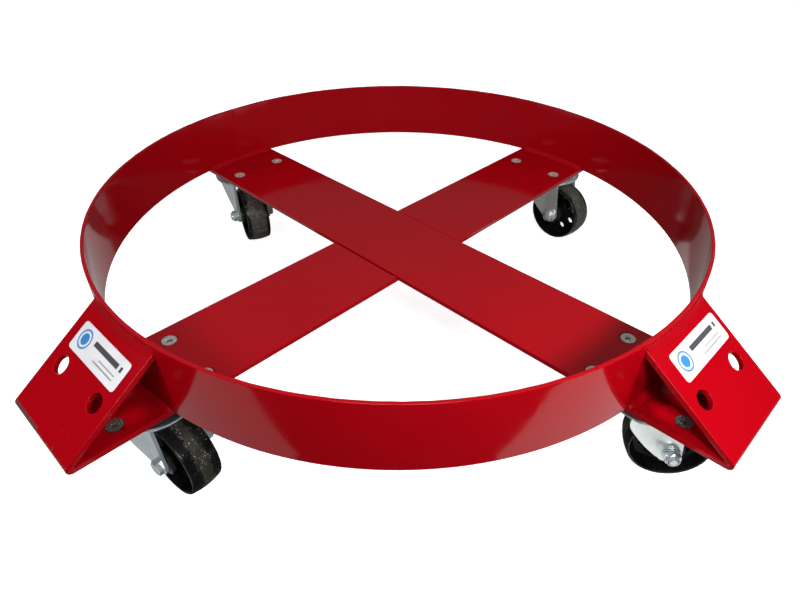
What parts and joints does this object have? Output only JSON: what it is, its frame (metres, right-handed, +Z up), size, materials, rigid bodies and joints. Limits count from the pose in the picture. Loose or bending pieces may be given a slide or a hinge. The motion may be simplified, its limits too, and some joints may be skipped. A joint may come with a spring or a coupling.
{
  "type": "drum dolly",
  "caption": "Welded steel drum dolly: a round containment ring on a cross of flat bars, folded end brackets with lashing holes, and swivel casters bolted under the arms.",
  "frame": {"origin": "on the floor, under the middle of the ring", "axes": "+Z up; +X along the front-right arm, -X the rear-left arm, -Y the front-left arm, +Y the rear-right arm"},
  "size_m": [0.7764, 0.7764, 0.177],
  "materials": {
    "red_paint": "gloss enamel over steel sheet and bar, orange peel, chipped and worn along the folds",
    "zinc_plate": "bright zinc plating on pressed steel, slightly blue",
    "zinc_fastener": "zinc plated screws, nuts, bolts and washers",
    "plain_steel": "plain turned or riveted steel, lightly greased",
    "bronze_bush": "sintered bronze",
    "wheel_black": "black painted cast wheel with a worn, dusty grey-brown tread",
    "label_film": "white printed film"
  },
  "bodies": {
    "frame": {"ring": "red_paint", "ring_seam": "red_paint", "crossbar": "red_paint", "arm_front_left": "red_paint", "arm_rear_right": "red_paint", "ring_welds": "red_paint", "bracket_welds": "red_paint", "joint_welds": "red_paint", "label_front_left": "label_film", "label_front_right": "label_film", "deck_screws": "zinc_fastener", "deck_nuts": "zinc_fastener", "plate_fl": "zinc_plate", "plate_fr": "zinc_plate", "plate_rl": "zinc_plate", "plate_rr": "zinc_plate", "kingpin_fl": "plain_steel", "kingpin_fr": "plain_steel", "kingpin_rl": "plain_steel", "kingpin_rr": "plain_steel"},
    "fork_front_left": {"fork_fl": "zinc_plate", "balls_fl": "plain_steel", "axle_bolt_fl": "zinc_fastener", "axle_nut_fl": "zinc_fastener", "axle_washer_fl": "zinc_fastener", "spacer_fl": "plain_steel"},
    "wheel_front_left": {"wheel_fl": "wheel_black", "bush_fl": "bronze_bush"},
    "fork_front_right": {"fork_fr": "zinc_plate", "balls_fr": "plain_steel", "axle_bolt_fr": "zinc_fastener", "axle_nut_fr": "zinc_fastener", "axle_washer_fr": "zinc_fastener", "spacer_fr": "plain_steel"},
    "wheel_front_right": {"wheel_fr": "wheel_black", "bush_fr": "bronze_bush"},
    "fork_rear_left": {"fork_rl": "zinc_plate", "balls_rl": "plain_steel", "axle_bolt_rl": "zinc_fastener", "axle_nut_rl": "zinc_fastener", "axle_washer_rl": "zinc_fastener", "spacer_rl": "plain_steel"},
    "wheel_rear_left": {"wheel_rl": "wheel_black", "bush_rl": "bronze_bush"},
    "fork_rear_right": {"fork_rr": "zinc_plate", "balls_rr": "plain_steel", "axle_bolt_rr": "zinc_fastener", "axle_nut_rr": "zinc_fastener", "axle_washer_rr": "zinc_fastener", "spacer_rr": "plain_steel"},
    "wheel_rear_right": {"wheel_rr": "wheel_black", "bush_rr": "bronze_bush"}
  },
  "joints": [
    {"name": "swivel_front_left", "type": "hinge", "parent": "frame", "child": "fork_front_left", "pos_m": [0, -0.303, 0.0895], "axis": [0, 0, 1], "continuous": true},
    {"name": "roll_front_left", "type": "hinge", "parent": "fork_front_left", "child": "wheel_front_left", "pos_m": [0.02789, -0.30056, 0.0381], "axis": [-0.0872, 0.9962, 0], "continuous": true},
    {"name": "swivel_front_right", "type": "hinge", "parent": "frame", "child": "fork_front_right", "pos_m": [0.303, 0, 0.0895], "axis": [0, 0, 1], "continuous": true},
    {"name": "roll_front_right", "type": "hinge", "parent": "fork_front_right", "child": "wheel_front_right", "pos_m": [0.32565, 0.01646, 0.0381], "axis": [-0.5878, 0.809, 0], "continuous": true},
    {"name": "swivel_rear_left", "type": "hinge", "parent": "frame", "child": "fork_rear_left", "pos_m": [-0.303, 0, 0.0895], "axis": [0, 0, 1], "continuous": true},
    {"name": "roll_rear_left", "type": "hinge", "parent": "fork_rear_left", "child": "wheel_rear_left", "pos_m": [-0.27704, -0.01049, 0.0381], "axis": [0.3746, 0.9272, 0], "continuous": true},
    {"name": "swivel_rear_right", "type": "hinge", "parent": "frame", "child": "fork_rear_right", "pos_m": [0, 0.303, 0.0895], "axis": [0, 0, 1], "continuous": true},
    {"name": "roll_rear_right", "type": "hinge", "parent": "fork_rear_right", "child": "wheel_rear_right", "pos_m": [0.02793, 0.30105, 0.0381], "axis": [0.0698, 0.9976, 0], "continuous": true}
  ]
}
